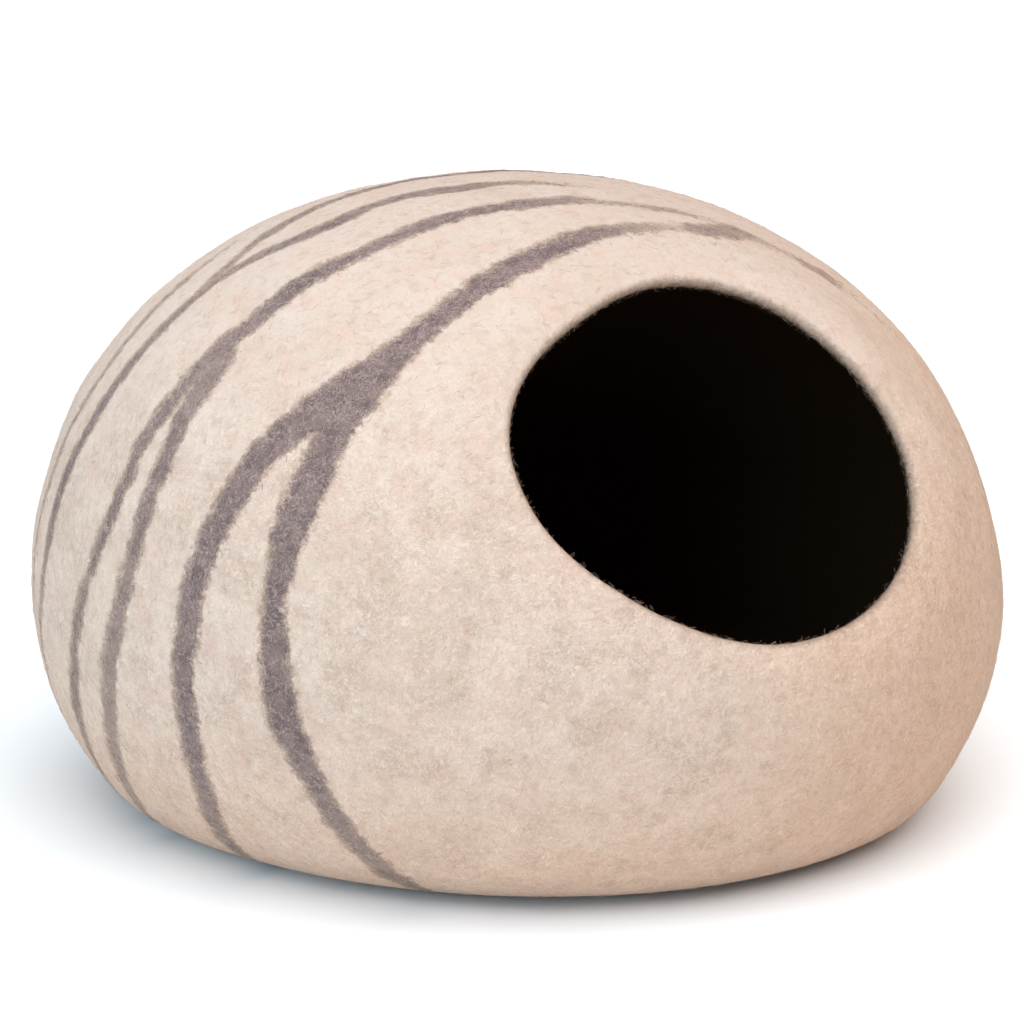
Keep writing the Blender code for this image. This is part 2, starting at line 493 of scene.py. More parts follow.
@dataclass(frozen=True)
class FeltFinish:
    """Wool felt: heathered cream with painted warm shade low down, towards +X and below the doorway, dark
    felted-in bands, painted brown shade over the lip and near-black painted shade in the hollow.

    Scales are in cycles for each metre, lengths and heights in metres.
    """

    name: str = "wool_felt"
    roughness: float = 0.95
    specular: float = 0.15
    sheen: float = 0.05
    sheen_roughness: float = 0.6
    sheen_tint: Colour = (1.0, 0.93, 0.86)

    rough_step: Step = (0.28, 0.18)  # heights, as the crown is felted smoother than the rest
    fleck_scale: float = 520.0
    pebble_scale: float = 240.0
    fray_scale: float = 380.0
    fibre_scale: float = 220.0  # of the coarsest of the layers of fibre marks
    fibre_layers: int = 3
    fibre_growth: float = 1.4  # from one layer's scale to the next
    fibre_detail: float = 1.5
    fibre_distortion: float = 1.2
    fibre_line: Step = (0.003, 0.042)
    fibre_breaks: Step = (0.34, 0.50)
    fibre_shifts: Triple = (0.7, 1.3, 0.4)  # from one layer's pattern to the next

    cream: Colour = (0.76, 0.575, 0.47)
    cream_crown: Colour = (0.68, 0.54, 0.46)
    cream_shade: Colour = (0.54, 0.375, 0.28)
    cream_straw: Colour = (0.61, 0.45, 0.335)
    cream_rose: Colour = (0.71, 0.465, 0.375)
    cream_light: Colour = (0.84, 0.68, 0.575)
    cream_mark: Colour = (0.41, 0.275, 0.20)
    patches: tuple[Patches, ...] = (
        Patches(17.0, (0.45, 0.70), 0.22, cream_shade),
        Patches(34.0, (0.45, 0.72), 0.36, cream_straw),
        Patches(57.8, (0.48, 0.72), 0.55, cream_rose),
        Patches(90.0, (0.50, 0.72), 0.60, cream_rose),
        Patches(150.0, (0.48, 0.74), 0.55, cream_shade),
        Patches(255.0, (0.50, 0.74), 0.60, cream_straw),
    )
    fleck_step: Step = (0.50, 0.74)
    contrast: Pair = (0.14, 0.26)  # of flecks and fibres: what is added below the crown, and what it has
    crowd_scale: float = 44.2  # of the patches where small curls crowd
    crowd_step: Step = (0.40, 0.66)
    dimple_step: Step = (0.48, 0.36)
    dimple_strength: float = 0.36
    mark_scale: float = 330.0
    mark_shift: float = 5.0
    mark_strength: float = 0.60

    # Painted shade: the cream is darkened and warmed at the foot, towards +X and in a patch below the
    # doorway, where the felt lies in shade.
    painted_shade_tint: Colour = (1.02, 0.88, 0.75)  # what the painted warm shade multiplies the cream by
    painted_shade_middle: Triple = (0.08, -0.22, 0.11)  # of a patch of painted shade below the doorway
    painted_shade_reach: Step = (0.12, 0.02)  # distances from the patch's middle
    painted_shade_patch: float = 0.6
    painted_shade_low: Step = (0.11, 0.0)  # heights over which shade is painted at the foot
    painted_shade_foot: float = 0.55
    painted_shade_side: Step = (0.05, 0.25)  # places along +X, over which shade is painted on the side away from the side light
    # how thickly curl marks crowd where shade is painted
    painted_shade_crowd: float = 0.9

    band: Colour = (0.21, 0.138, 0.127)
    band_deep: Colour = (0.118, 0.079, 0.076)
    band_light: Colour = (0.49, 0.36, 0.315)
    band_thin: Colour = (0.40, 0.265, 0.185)  # where little dark wool lies over the cream
    band_cover: Step = (0.2, 1.0)
    thin_cover: Step = (0.0, 0.5)
    thin_strength: float = 0.65
    band_blend: float = 0.3  # how softly two bands that meet run together
    depth_scale: float = 105.0
    depth_step: Step = (0.40, 0.62)
    depth_strength: float = 0.75
    band_fibres: float = 0.50
    waver_scale: float = 90.0
    edge_waver: float = 0.0085
    edge_fray: float = 0.0045
    edge_fibres: float = 0.0011
    edge_softness: float = 0.0034
    edge_drift: float = 0.0020  # how much further thin wool drifts on the side away from the doorway
    drift_step: Step = (-0.002, 0.004)  # across the band's middle

    # Painted shade: brown over the rolled lip and near black in the hollow, where shade falls inside the
    # cave.
    lip: Colour = (0.38, 0.255, 0.185)
    hollow: Colour = (0.090, 0.048, 0.024)
    lip_shade_step: Step = (-0.0005, 0.0055)  # of the lip's painted shade, over the lip from its outer side
    # where the hollow's near-black painted shade begins and where it is full
    hollow_shade_step: Step = (0.0042, 0.0082)
    lip_fray: float = 0.0060

    relief: Pair = (0.3, 0.3)  # what is added below the crown, and what it has
    relief_height: float = 0.0006
    relief_fibres: float = 0.7
    relief_pebbles: float = 3.0

    def build(self) -> bpy.types.Material:
        """Build the material.

        Returns:
            The material.
        """
        nodes = FinishNodes(self.name)
        spot = nodes.add("ShaderNodeSeparateXYZ", Vector=nodes.place).outputs
        grain = FeltGrain(
            rough=nodes.ramp(spot[2], *self.rough_step),
            flecks=nodes.grain(self.fleck_scale, 3),
            pebbles=nodes.grain(self.pebble_scale, 2),
            fibres=self.fibres(nodes, self.fibre_scale, 0.0),
            fray=nodes.waver(self.fray_scale),
        )
        # the cream, with warm shade painted at the foot, towards +X and below the doorway
        felt = self.cream_colour(nodes, grain, self.painted_shade(nodes, spot))
        mask = self.band_mask(nodes, grain)
        thin = nodes.math("MULTIPLY", nodes.ramp(mask, *self.thin_cover), self.thin_strength)
        felt = nodes.mix(thin, felt, self.band_thin)
        felt = nodes.mix(nodes.ramp(mask, *self.band_cover), felt, self.band_colour(nodes, grain))

        # Paint brown shade over the lip and near-black shade in the hollow.
        depth = nodes.add("ShaderNodeAttribute", {"attribute_name": OVER_LIP}).outputs["Fac"]
        frayed = nodes.math("MULTIPLY_ADD", grain.fray, self.lip_fray, depth)
        deep = nodes.ramp(frayed, *self.hollow_shade_step)
        felt = nodes.mix(nodes.ramp(frayed, *self.lip_shade_step), felt, self.lip)
        felt = nodes.mix(deep, felt, self.hollow)

        # the hollow's painted shade has no specular and no sheen
        outside = nodes.math("SUBTRACT", 1.0, deep)
        nodes.feed(nodes.surface["Base Color"], felt)
        nodes.feed(nodes.surface["Normal"], self.normal(nodes, grain))
        nodes.feed(nodes.surface["Specular IOR Level"], nodes.math("MULTIPLY", outside, self.specular))
        nodes.feed(nodes.surface["Sheen Weight"], nodes.math("MULTIPLY", outside, self.sheen))
        nodes.feed(nodes.surface["Roughness"], self.roughness)
        nodes.feed(nodes.surface["Sheen Roughness"], self.sheen_roughness)
        nodes.feed(nodes.surface["Sheen Tint"], (*self.sheen_tint, 1.0))
        return nodes.material

    def fibres(self, nodes: FinishNodes, scale: float, shift: float) -> Socket:
        """Add thin curly lines, the marks of single wool fibres.

        Args:
            nodes: The finish's nodes.
            scale: Cycles for each metre of the coarsest lines.
            shift: How far the pattern is moved, which sets one set of lines apart from another.

        Returns:
            1 on a fibre and 0 between them.
        """
        lines = None
        for layer in range(self.fibre_layers):
            shifted = nodes.add("ShaderNodeVectorMath", {"operation": "ADD"}, Vector=nodes.place)
            shifted.inputs[1].default_value = [shift + layer * step for step in self.fibre_shifts]
            place = shifted.outputs[0]
            field = nodes.add(
                "ShaderNodeTexNoise",
                Vector=place,
                Scale=scale,
                Detail=self.fibre_detail,
                Distortion=self.fibre_distortion,
            )
            ridge = nodes.math("ABSOLUTE", nodes.math("SUBTRACT", field.outputs["Fac"], 0.5))
            line = nodes.math("SUBTRACT", 1.0, nodes.ramp(ridge, *self.fibre_line))
            broken = nodes.ramp(nodes.grain(scale * 0.5, 1, place), *self.fibre_breaks)
            line = nodes.math("MULTIPLY", line, broken)
            lines = line if lines is None else nodes.math("MAXIMUM", lines, line)
            scale *= self.fibre_growth
        return lines

    def painted_shade(self, nodes: FinishNodes, spot: bpy.types.NodeOutputs) -> Socket:
        """Work out where warm shade is painted: at the foot, towards +X and in a patch below the doorway.

        Args:
            nodes: The finish's nodes.
            spot: The place's three coordinates.

        Returns:
            The painted shade's share, from 0 to 1.
        """
        away = nodes.add("ShaderNodeVectorMath", {"operation": "DISTANCE"}, Vector=nodes.place)
        away.inputs[1].default_value = self.painted_shade_middle
        patch = nodes.ramp(away.outputs["Value"], *self.painted_shade_reach)
        painted_shade = nodes.math("MULTIPLY", patch, self.painted_shade_patch)
        painted_shade = nodes.math("MULTIPLY_ADD", nodes.ramp(spot[2], *self.painted_shade_low), self.painted_shade_foot, painted_shade)
        return nodes.math("ADD", nodes.ramp(spot[0], *self.painted_shade_side), painted_shade, clamp=True)

    def cream_colour(self, nodes: FinishNodes, grain: FeltGrain, painted_shade: Socket) -> Socket:
        """Mix the cream wool's colour, with the painted warm shade multiplied in.

        Args:
            nodes: The finish's nodes.
            grain: The shared grain.
            painted_shade: The painted shade's share.

        Returns:
            The colour.
        """
        colour = nodes.mix(grain.rough, self.cream_crown, self.cream)
        for patches in self.patches:
            amount = nodes.ramp(nodes.grain(patches.scale, 3), *patches.step)
            colour = nodes.mix(nodes.math("MULTIPLY", amount, patches.strength), colour, patches.tint)

        contrast = nodes.math("MULTIPLY_ADD", grain.rough, *self.contrast)
        shade = nodes.math("MULTIPLY", nodes.ramp(grain.flecks, *self.fleck_step), contrast)
        colour = nodes.mix(shade, colour, self.cream_shade)

        crowd = nodes.ramp(nodes.grain(self.crowd_scale, 2), *self.crowd_step)
        # curl marks crowd where shade is painted as well
        crowd = nodes.math("MAXIMUM", crowd, nodes.math("MULTIPLY", painted_shade, self.painted_shade_crowd))
        crowd = nodes.math("MULTIPLY", crowd, grain.rough)
        dimples = nodes.math("MULTIPLY", nodes.ramp(grain.pebbles, *self.dimple_step), crowd)
        marks = nodes.math("MULTIPLY", self.fibres(nodes, self.mark_scale, self.mark_shift), crowd)
        for amount, strength in ((dimples, self.dimple_strength), (marks, self.mark_strength)):
            colour = nodes.mix(nodes.math("MULTIPLY", amount, strength), colour, self.cream_mark)

        light = nodes.math("MULTIPLY", grain.fibres, contrast)
        # multiply in the painted warm shade
        return nodes.mix(painted_shade, nodes.mix(light, colour, self.cream_light), self.painted_shade_tint, "MULTIPLY")

    def band_mask(self, nodes: FinishNodes, grain: FeltGrain) -> Socket:
        """Work out where the dark bands lie.

        Args:
            nodes: The finish's nodes.
            grain: The shared grain, which frays the bands' edges.

        Returns:
            1 inside a band and 0 outside, with a frayed edge.
        """
        uneven = nodes.math("MULTIPLY", nodes.waver(self.waver_scale), self.edge_waver)
        uneven = nodes.math("MULTIPLY_ADD", grain.fray, self.edge_fray, uneven)
        uneven = nodes.math("MULTIPLY_ADD", grain.fibres, -self.edge_fibres, uneven)
        mask = None
        for band in BANDS:
            carried = nodes.add("ShaderNodeAttribute", {"attribute_name": band.attribute()})
            parts = nodes.add("ShaderNodeSeparateXYZ", Vector=carried.outputs["Vector"]).outputs
            inside = nodes.math("SUBTRACT", parts[1], nodes.math("ABSOLUTE", parts[0]))
            outer = nodes.ramp(parts[0], *self.drift_step)
            low = nodes.math("MULTIPLY_ADD", outer, -self.edge_drift, -self.edge_softness)
            inside = nodes.ramp(nodes.math("ADD", inside, uneven), low, self.edge_softness)
            covered = nodes.math("MULTIPLY", inside, parts[2])
            mask = covered if mask is None else nodes.math("SMOOTH_MAX", mask, covered, self.band_blend)
        return mask

    def band_colour(self, nodes: FinishNodes, grain: FeltGrain) -> Socket:
        """Mix the dark wool's colour.

        Args:
            nodes: The finish's nodes.
            grain: The shared grain.

        Returns:
            The colour.
        """
        depths = nodes.ramp(nodes.grain(self.depth_scale, 3), *self.depth_step)
        colour = nodes.mix(nodes.math("MULTIPLY", depths, self.depth_strength), self.band, self.band_deep)
        return nodes.mix(nodes.math("MULTIPLY", grain.fibres, self.band_fibres), colour, self.band_light)

    def normal(self, nodes: FinishNodes, grain: FeltGrain) -> Socket:
        """Work out the felt's fine relief.

        Args:
            nodes: The finish's nodes.
            grain: The shared grain.

        Returns:
            The surface's normal.
        """
        height = nodes.math("ADD", grain.flecks, nodes.math("MULTIPLY", grain.fibres, self.relief_fibres))
        pebbles = nodes.math("MULTIPLY", grain.pebbles, grain.rough)
        height = nodes.math("MULTIPLY_ADD", pebbles, self.relief_pebbles, height)
        strength = nodes.math("MULTIPLY_ADD", grain.rough, *self.relief)
        bump = nodes.add("ShaderNodeBump", Strength=strength, Distance=self.relief_height, Height=height)
        return bump.outputs[0]


@dataclass(frozen=True)
class FibreFinish:
    """Single wool fibres: matt, with a soft sheen, a little lighter and darker from place to place."""

    name: str
    colour: Colour
    other: Colour
    scale: float = 240.0
    step: Step = (0.4, 0.62)
    roughness: float = 0.8
    specular: float = 0.2
    sheen: float = 0.05

    def build(self) -> bpy.types.Material:
        """Build the material.

        Returns:
            The material.
        """
        nodes = FinishNodes(self.name)
        field = nodes.add("ShaderNodeTexNoise", Vector=nodes.place, Scale=self.scale, Detail=2.0)
        share = nodes.ramp(field.outputs["Fac"], *self.step)
        nodes.feed(nodes.surface["Base Color"], nodes.mix(share, self.colour, self.other))
        nodes.feed(nodes.surface["Roughness"], self.roughness)
        nodes.feed(nodes.surface["Specular IOR Level"], self.specular)
        nodes.feed(nodes.surface["Sheen Weight"], self.sheen)
        return nodes.material


@dataclass(frozen=True)
class WoolShell:
    """The shell's fine mesh, and the values that its finish and fibres read."""

    body: BodyForm
    doorway: Doorway
    wall: float = 0.007
    lip_curl: float = 0.004
    lip_reach: float = 0.028
    segments: int = 256
    outer_rings: int = 270
    inner_step: int = 6  # outer rings for each inner one
    lip_steps: int = 12
    crowding: float = 1.08
    lumps: tuple[Pair, ...] = ((22.0, 0.0011), (70.0, 0.00035))  # cycles for a metre, height
    foot_fade: float = 0.025
    seam: float = 280.0  # turn at which the bands' courses are cut, in degrees
    least_sine: float = 0.3  # keeps a band's slope finite at the back's middle

    def build(self, finish: bpy.types.Material) -> bpy.types.Object:
        """Build the shell.

        Args:
            finish: The felt.

        Returns:
            The shell's object, at the origin.
        """
        turns = np.arange(self.segments) * 2 * math.pi / self.segments
        rims = self.doorway.rim_angles(turns, self.body)
        shares = (np.arange(self.outer_rings) / self.outer_rings) ** self.crowding
        off_axis = rims[None, :] + (math.pi - rims)[None, :] * shares[:, None]
        around = np.broadcast_to(turns, off_axis.shape)
        outer = self.body.points(self.doorway.directions(around, off_axis))
        from_rim = (off_axis - rims) * np.linalg.norm(outer - self.body.middle(), axis=-1)
        outer = self.lumpy(self.curled(outer, from_rim))
        normals = self.normals(outer)
        inner = (outer - normals * self.wall)[:: self.inner_step]
        rows = np.concatenate((inner[::-1], self.lip(outer, normals), outer))
        back = outer[-1].mean(axis=0)
        back_normal = normals[-1].mean(axis=0)
        back_normal /= np.linalg.norm(back_normal)
        backs = (back - back_normal * self.wall, back)
        points = np.concatenate((rows.reshape(-1, 3), backs))
        shift = (outer.min(axis=(0, 1)) + outer.max(axis=(0, 1))) / 2
        points[:, :2] -= shift[:2]

        mesh = bpy.data.meshes.new("wool_shell")
        mesh.from_pydata(points.tolist(), [], self.faces(len(rows)))
        mesh.shade_smooth()
        mesh.materials.append(finish)
        self.write_over_lip(mesh, inner, from_rim)
        self.write_bands(mesh, around, off_axis, outer)
        return placed(mesh.name, mesh)

    def curled(self, points: np.ndarray, from_rim: np.ndarray) -> np.ndarray:
        """Roll the edge of the outer face inward, by its points' distances from the rim."""
        share = np.clip(1 - from_rim / self.lip_reach, 0, 1)
        return points - self.normals(points) * (self.lip_curl * share**2)[..., None]

    def lumpy(self, points: np.ndarray) -> np.ndarray:
        """Give the face the soft lumps of felt worked by hand.

        Args:
            points: Rings of points.

        Returns:
            The points moved along their normals, and left in place at the foot.
        """
        flat = points.reshape(-1, 3)
        heights = np.zeros(len(flat))
        for scale, height in self.lumps:
            heights += height * np.array([noise.noise(Vector(point * scale)) for point in flat])
        heights *= np.clip(flat[:, 2] / self.foot_fade, 0, 1)
        return points + self.normals(points) * heights.reshape(points.shape[:-1])[..., None]

    def normals(self, rings: np.ndarray) -> np.ndarray:
        """Return the outward normals of closed rings of points.

        Args:
            rings: Rings of points, from the doorway to the back.

        Returns:
            One unit normal for each point.
        """
        along = np.gradient(rings, axis=0)
        across = np.roll(rings, -1, axis=1) - np.roll(rings, 1, axis=1)
        normals = np.cross(along, across)
        normals /= np.linalg.norm(normals, axis=-1)[..., None]
        outward = (normals * (rings - self.body.middle())).sum(axis=-1)
        return normals * np.sign(outward.mean())

    def lip(self, outer: np.ndarray, normals: np.ndarray) -> np.ndarray:
        """Return the rings of the lip's half-round edge, from the hollow's side to the outer side.

        Args:
            outer: The outer face's rings of points.
            normals: Their normals.

        Returns:
            The rings, without the two that the faces own.
        """
        edge, normal = outer[0], normals[0]
        towards = edge - outer[1]
        towards -= (towards * normal).sum(axis=-1)[:, None] * normal
        towards /= np.linalg.norm(towards, axis=-1)[:, None]
        half = self.wall / 2
        middle = edge - normal * half
        turns = np.linspace(math.pi, 0, self.lip_steps + 1)[1:-1]
        return np.array([middle + (normal * math.cos(t) + towards * math.sin(t)) * half for t in turns])

    def faces(self, rows: int) -> list[tuple[int, ...]]:
        """Join the rings with quads and close both backs.

        Args:
            rows: How many rings there are, from the hollow's back over the lip to the outer back.

        Returns:
            The faces, each as its points' indices.
        """
        faces: list[tuple[int, ...]] = []
        count = self.segments
        for row in range(rows - 1):
            for column in range(count):
                following = (column + 1) % count
                low, high = row * count, (row + 1) * count
                faces.append((low + column, high + column, high + following, low + following))
        last = (rows - 1) * count
        for column in range(count):
            following = (column + 1) % count
            faces.append((rows * count, column, following))
            faces.append((last + column, rows * count + 1, last + following))
        return faces

    def write_over_lip(self, mesh: bpy.types.Mesh, inner: np.ndarray, from_rim: np.ndarray) -> None:
        """Store how far each point lies over the lip.

        Args:
            mesh: The shell's mesh.
            inner: The hollow's rings of points.
            from_rim: The outer points' distances from the rim.
        """
        around_lip = math.pi * self.wall / 2
        steps = np.linalg.norm(np.diff(inner, axis=0), axis=-1).mean(axis=1)
        inner_depths = around_lip + np.concatenate(((0.0,), np.cumsum(steps)))
        lip_depths = around_lip * (1 - np.arange(1, self.lip_steps) / self.lip_steps)
        rows = np.repeat(np.concatenate((inner_depths[::-1], lip_depths)), self.segments)
        backs = (inner_depths[-1], -from_rim.max())
        self.store(mesh, OVER_LIP, np.concatenate((rows, -from_rim.ravel(), backs)))

    def write_bands(
        self, mesh: bpy.types.Mesh, around: np.ndarray, off_axis: np.ndarray, outer: np.ndarray
    ) -> None:
        """Store what the bands' finish and fibres read.

        For each band, each outer point carries its signed distance from the band's middle, and the band's
        half width and strength there.

        Args:
            mesh: The shell's mesh.
            around: The outer points' turns around the doorway's axis.
            off_axis: Their angles off that axis.
            outer: The outer points.
        """
        turn = np.degrees(around)
        turn = np.where(turn > self.seam, turn - 360, turn)
        reach = np.linalg.norm(outer - self.body.middle(), axis=-1)
        banded = slice(-2 - turn.size, -2)  # all but the lip, the hollow and the two backs
        deepest = np.full(turn.shape, -1.0)
        for band in BANDS:
            places = band.column("around")
            course = smooth_through(turn, places, band.column("off_axis"))
            rise = smooth_through(turn + 1, places, band.column("off_axis")) - course
            slope = rise / np.sin(off_axis).clip(min=self.least_sine)
            offset = np.radians(np.degrees(off_axis) - course) * reach / np.sqrt(1 + slope**2)
            half_width = smooth_through(turn, places, band.column("half_width")) / 1000
            beyond = np.maximum(places[0] - turn, turn - places[-1]).clip(min=0)
            half_width = half_width - np.radians(beyond) * reach
            strength = smooth_through(turn, places, band.column("strength"))
            deepest = np.maximum(deepest, half_width - np.abs(offset))
            values = np.tile((0.0, -1.0, 0.0), (len(mesh.vertices), 1))
            values[banded] = np.stack((offset, half_width, strength), axis=-1).reshape(-1, 3)
            self.store(mesh, band.attribute(), values)
        values = np.full(len(mesh.vertices), -1.0)
        values[banded] = deepest.ravel()
        self.store(mesh, BAND_DEPTH, values)

    def store(self, mesh: bpy.types.Mesh, name: str, values: np.ndarray) -> None:
        """Store a value or a vector for each point of a mesh."""
        kind, key = ("FLOAT_VECTOR", "vector") if values.ndim == 2 else ("FLOAT", "value")
        mesh.attributes.new(name, kind, "POINT").data.foreach_set(key, values.astype(np.float32).ravel())


@dataclass(frozen=True)
class FibreCoat:
    """Loose fibres that lie on one region of the shell and lift a little off it."""

    region: Region
    finish: FibreFinish
    per_square_metre: float
    length: float
    radius: float
    lift: float  # radians
    seed: int
    sink: float = 0.12  # share of the lift by which a fibre may dip
    lengths: Pair = (0.55, 1.3)  # of the shortest and the longest, as shares
    curls: tuple[Triple, ...] = (  # where the middle of each shape bends to, for a length of 1 along X
        (0.5, 0.30, 0.03),
        (0.45, -0.42, 0.05),
        (0.6, 0.55, 0.02),
        (0.35, -0.18, 0.08),
    )
    end_along: float = 0.9
    end_bend: float = -0.4  # share of the middle's bend
    sides: int = 3
    curve_steps: int = 3
    outer_side: float = 0.001  # over the lip, where the outer face ends
    inner_side: float = 0.010  # over the lip, where the lip ends
    clearance: float = 0.004  # above the floor
    band_ease: float = 0.002  # how far inside a band its fibres reach their full share

    def build(self, shell: bpy.types.Object) -> bpy.types.Object:
        """Grow the fibres on the shell and turn them into a plain mesh.

        Args:
            shell: The shell's object.

        Returns:
            The fibres' object, at the origin.
        """
        host = shell.copy()
        host.data = shell.data.copy()
        bpy.context.scene.collection.objects.link(host)
        self.write_share(host.data)
        given = {
            "Per Square Metre": ("NodeSocketFloat", self.per_square_metre),
            "Length": ("NodeSocketFloat", self.length),
            "Radius": ("NodeSocketFloat", self.radius),
            "Lift": ("NodeSocketFloat", self.lift),
            "Seed": ("NodeSocketInt", self.seed),
            "Finish": ("NodeSocketMaterial", self.finish.build()),
        }
        modifier = host.modifiers.new("fibres", "NODES")
        modifier.node_group = self.tree({name: kind for name, (kind, _) in given.items()})
        for item in modifier.node_group.interface.items_tree:
            if item.name in given:
                modifier[item.identifier] = given[item.name][1]
        depsgraph = bpy.context.evaluated_depsgraph_get()
        mesh = bpy.data.meshes.new_from_object(host.evaluated_get(depsgraph), depsgraph=depsgraph)
        mesh.name = f"loose_wool_{self.region.value}"
        host.modifiers.remove(modifier)
        bpy.data.objects.remove(host)
        return placed(mesh.name, mesh)

    def write_share(self, mesh: bpy.types.Mesh) -> None:
        """Store how thickly the fibres grow at each point, from 0 to 1.

        Args:
            mesh: The host's mesh.
        """
        count = len(mesh.vertices)
        places, over_lip, band_depth = np.empty(count * 3), np.empty(count), np.empty(count)
        mesh.vertices.foreach_get("co", places)
        mesh.attributes[OVER_LIP].data.foreach_get("value", over_lip)
        mesh.attributes[BAND_DEPTH].data.foreach_get("value", band_depth)
        outside = (over_lip < self.outer_side) & (places[2::3] > self.clearance)
        if self.region is Region.FRONT:
            share = outside & (places[1::3] < 0)
        elif self.region is Region.BACK:
            share = outside & (places[1::3] >= 0)
        elif self.region is Region.BANDS:
            share = outside * np.clip(band_depth / self.band_ease, 0, 1)
        else:
            share = (over_lip > self.outer_side) & (over_lip < self.inner_side)
        attribute = mesh.attributes.new(FIBRE_SHARE, "FLOAT", "POINT")
        attribute.data.foreach_set("value", share.astype(np.float32))

    def tree(self, kinds: dict[str, str]) -> bpy.types.NodeTree:
        """Build the node tree that grows the fibres.

        Args:
            kinds: The socket type of each named input.

        Returns:
            The tree.
        """
        tree = bpy.data.node_groups.new(f"fibres_{self.region.value}", "GeometryNodeTree")
        for name, kind in {"Geometry": "NodeSocketGeometry", **kinds}.items():
            tree.interface.new_socket(name, in_out="INPUT", socket_type=kind)
        tree.interface.new_socket("Geometry", in_out="OUTPUT", socket_type="NodeSocketGeometry")
        nodes = Nodes(tree)
        given = nodes.add("NodeGroupInput").outputs
        seed = given["Seed"]
        by_point = {"data_type": "FLOAT"}
        share = nodes.add("GeometryNodeInputNamedAttribute", by_point, Name=FIBRE_SHARE).outputs[0]
        density = nodes.math("MULTIPLY", share, given["Per Square Metre"])
        spread = nodes.add(
            "GeometryNodeDistributePointsOnFaces", Mesh=given["Geometry"], Density=density, Seed=seed
        )

        turn = self.chance(nodes, "FLOAT_VECTOR", seed, 1)
        turn.inputs[0].default_value = (0.0, 0.0, -math.pi)
        turn.inputs[1].default_value = (0.0, 0.0, math.pi)
        roll = self.chance(nodes, "FLOAT", seed, 2)
        nodes.feed(roll.inputs[2], nodes.math("MULTIPLY", given["Lift"], -1.0))
        nodes.feed(roll.inputs[3], nodes.math("MULTIPLY", given["Lift"], self.sink))
        tilt = nodes.add("ShaderNodeCombineXYZ", Y=roll.outputs[1])
        size = self.chance(nodes, "FLOAT", seed, 3)
        size.inputs[2].default_value, size.inputs[3].default_value = self.lengths

        rotation = spread.outputs["Rotation"]
        for step in (turn, tilt):
            turned = nodes.add("FunctionNodeRotateRotation", {"rotation_space": "LOCAL"}, Rotation=rotation)
            nodes.feed(turned.inputs["Rotate By"], step.outputs[0])
            rotation = turned.outputs[0]
        copies = nodes.add(
            "GeometryNodeInstanceOnPoints",
            Points=spread.outputs["Points"],
            Instance=self.shapes(nodes, given),
            Pick_Instance=True,
            Rotation=rotation,
            Scale=size.outputs[1],
        )
        realized = nodes.add("GeometryNodeRealizeInstances", Geometry=copies.outputs[0])
        dressed = nodes.add(
            "GeometryNodeSetMaterial", Geometry=realized.outputs[0], Material=given["Finish"]
        )
        nodes.add("NodeGroupOutput", Geometry=dressed.outputs[0])
        return tree

    def chance(self, nodes: Nodes, kind: str, seed: Socket, step: int) -> bpy.types.Node:
        """Add a random value of a data type, with its own step from the coat's seed."""
        own_seed = nodes.math("ADD", seed, float(step))
        return nodes.add("FunctionNodeRandomValue", {"data_type": kind}, Seed=own_seed)

    def shapes(self, nodes: Nodes, given: bpy.types.NodeOutputs) -> Socket:
        """Add the fibres' shapes, each a short curl that lies along X.

        Args:
            nodes: The tree's nodes.
            given: The tree's inputs.

        Returns:
            The shapes as separate instances.
        """
        radius, length = given["Radius"], given["Length"]
        outline = nodes.add("GeometryNodeCurvePrimitiveCircle", Resolution=self.sides, Radius=radius)
        gathered = nodes.add("GeometryNodeGeometryToInstance")
        for middle in self.curls:
            scaled = []
            for place in (middle, (self.end_along, middle[1] * self.end_bend, 0.0)):
                node = nodes.add("ShaderNodeVectorMath", {"operation": "SCALE"}, Vector=place, Scale=length)
                scaled.append(node.outputs[0])
            curve = nodes.add(
                "GeometryNodeCurveQuadraticBezier",
                Resolution=self.curve_steps,
                Start=(0.0, 0.0, 0.0),
                Middle=scaled[0],
                End=scaled[1],
            )
            parts = {"Curve": curve.outputs[0], "Profile_Curve": outline.outputs[0]}
            tube = nodes.add("GeometryNodeCurveToMesh", **parts)
            nodes.feed(gathered.inputs[0], tube.outputs[0])
        return gathered.outputs[0]


@dataclass(frozen=True)
class SoftLight:
    """A wide, even light from one side."""

    name: str
    place: Triple  # only its direction from the origin counts
    power: float
    colour: Colour = (1.0, 1.0, 1.0)
    spread: float = math.radians(70)

    def build(self) -> None:
        """Hang the light and turn it to the shell."""
        data = bpy.data.lights.new(self.name, "SUN")
        data.angle = self.spread
        data.energy = self.power
        data.color = self.colour
        light = placed(self.name, data)
        light.location = self.place
        light.rotation_euler = light.location.to_track_quat("Z", "Y").to_euler()


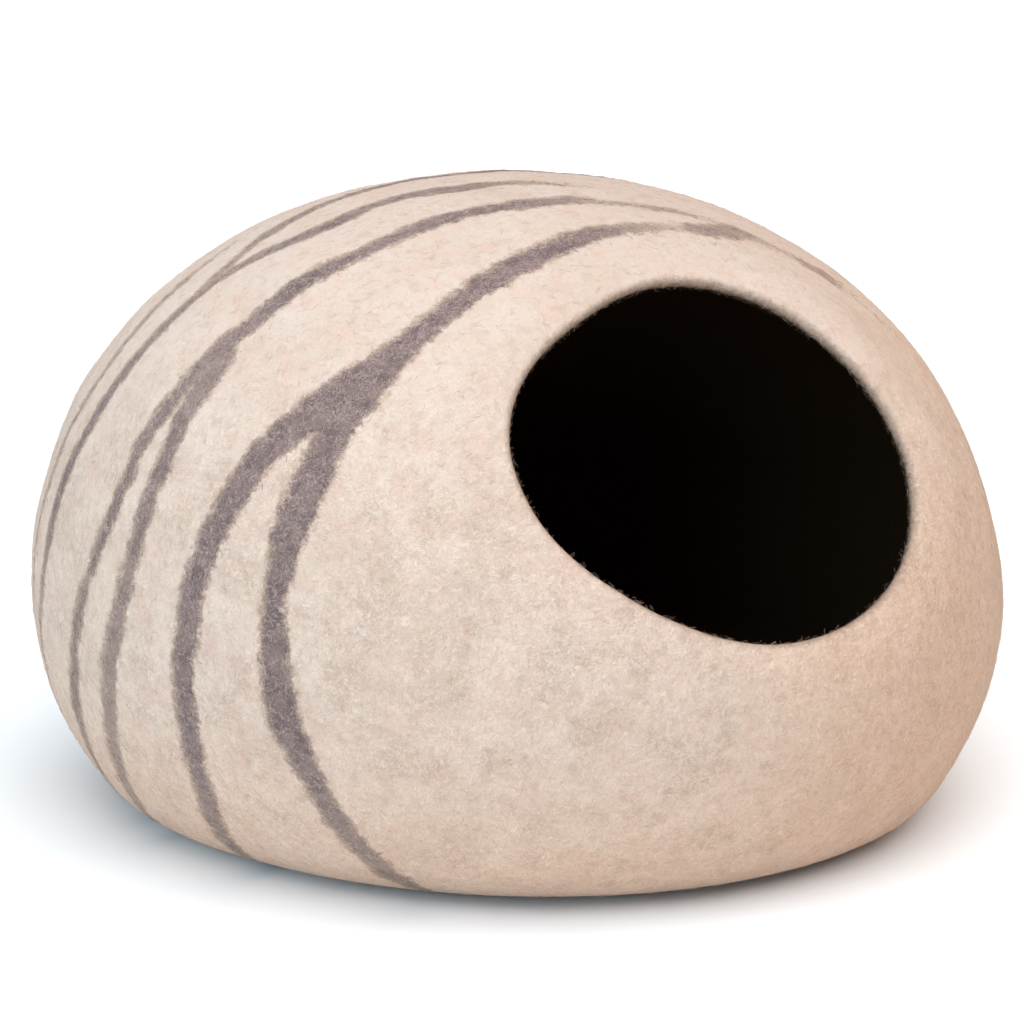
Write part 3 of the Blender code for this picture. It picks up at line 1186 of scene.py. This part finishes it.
@dataclass(frozen=True)
class Studio:
    """The pale floor, the soft lights and the camera."""

    azimuth: float = math.radians(-24.5)
    elevation: float = math.radians(12.0)
    distance: float = 1.2252
    aim: Triple = (-0.0045, 0.0020, 0.1421)
    lens: float = 85.0
    sensor: float = 36.0
    floor_level: float = -0.0004
    floor_size: float = 40.0
    floor_colour: Colour = (0.97, 0.97, 0.97)
    floor_roughness: float = 0.9
    fill: float = 0.10
    backdrop: float = 1.2
    lights: tuple[SoftLight, ...] = (
        SoftLight("top_light", place=(0.0, -0.37, 0.93), power=3.33),
        SoftLight("side_light", place=(-0.92, -0.335, 0.21), power=2.8, colour=(0.53, 0.80, 1.0)),
    )

    def build(self) -> None:
        """Build the stage."""
        self.floor()
        self.world()
        for light in self.lights:
            light.build()
        self.camera()
        bpy.context.scene.view_settings.view_transform = "Standard"

    def floor(self) -> None:
        """Lay the floor."""
        half = self.floor_size / 2
        edge = [(x * half, y * half, self.floor_level) for x, y in ((-1, -1), (1, -1), (1, 1), (-1, 1))]
        mesh = bpy.data.meshes.new("studio_floor")
        mesh.from_pydata(edge, [], [(0, 1, 2, 3)])
        material = bpy.data.materials.new("pale_floor")
        material.use_nodes = True
        surface = material.node_tree.nodes["Principled BSDF"].inputs
        surface["Base Color"].default_value = (*self.floor_colour, 1.0)
        surface["Roughness"].default_value = self.floor_roughness
        surface["Specular IOR Level"].default_value = 0.0
        mesh.materials.append(material)
        placed(mesh.name, mesh)

    def world(self) -> None:
        """Surround the stage with white, brighter where the camera sees it than where it lights."""
        world = bpy.data.worlds.new("studio")
        world.use_nodes = True
        bpy.context.scene.world = world
        nodes = Nodes(world.node_tree)
        seen = nodes.add("ShaderNodeLightPath").outputs["Is Camera Ray"]
        background = world.node_tree.nodes["Background"].inputs
        background["Color"].default_value = (1.0, 1.0, 1.0, 1.0)
        strength = nodes.math("MULTIPLY_ADD", seen, self.backdrop - self.fill, self.fill)
        nodes.feed(background["Strength"], strength)

    def camera(self) -> None:
        """Stand the camera at the photograph's place."""
        level = math.cos(self.elevation)
        across, along = math.sin(self.azimuth) * level, -math.cos(self.azimuth) * level
        back = Vector((across, along, math.sin(self.elevation)))
        data = bpy.data.cameras.new("camera")
        data.lens = self.lens
        data.sensor_width = self.sensor
        camera = placed("camera", data)
        camera.location = Vector(self.aim) + back * self.distance
        camera.rotation_euler = (-back).to_track_quat("-Z", "Y").to_euler()
        bpy.context.scene.camera = camera


CREAM_FIBRE = FibreFinish("cream_fibre", colour=(0.79, 0.61, 0.495), other=(0.66, 0.48, 0.375))
DARK_FIBRE = FibreFinish("dark_fibre", colour=(0.235, 0.16, 0.147), other=(0.47, 0.35, 0.30))
# fibres on the lip, darkened to match the lip's painted shade
SHADED_LIP_FIBRE = FibreFinish("shaded_lip_fibre", colour=(0.54, 0.375, 0.275), other=(0.28, 0.19, 0.135))

COATS = (
    FibreCoat(Region.FRONT, CREAM_FIBRE, 40000, length=0.0045, radius=0.00005, lift=0.10, seed=11),
    FibreCoat(Region.BACK, CREAM_FIBRE, 40000, length=0.0045, radius=0.00005, lift=0.10, seed=12),
    FibreCoat(Region.BANDS, DARK_FIBRE, 120000, length=0.0035, radius=0.00007, lift=0.10, seed=13),
    FibreCoat(Region.LIP, SHADED_LIP_FIBRE, 300000, length=0.0032, radius=0.00004, lift=0.45, seed=14),
)


def main() -> None:
    """Build the pieces in order and report each."""
    logging.basicConfig(level=logging.INFO, format="%(name)s: %(message)s")
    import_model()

    shell = WoolShell(BodyForm(), Doorway()).build(FeltFinish().build())
    coats = [coat.build(shell) for coat in COATS]
    for piece in (shell, *coats):
        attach(piece, ROOT)
        LOG.info("%s: %d faces", piece.name, len(piece.data.polygons))
    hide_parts(SHELL_NODE)
    Studio().build()


if __name__ == "__main__":
    main()
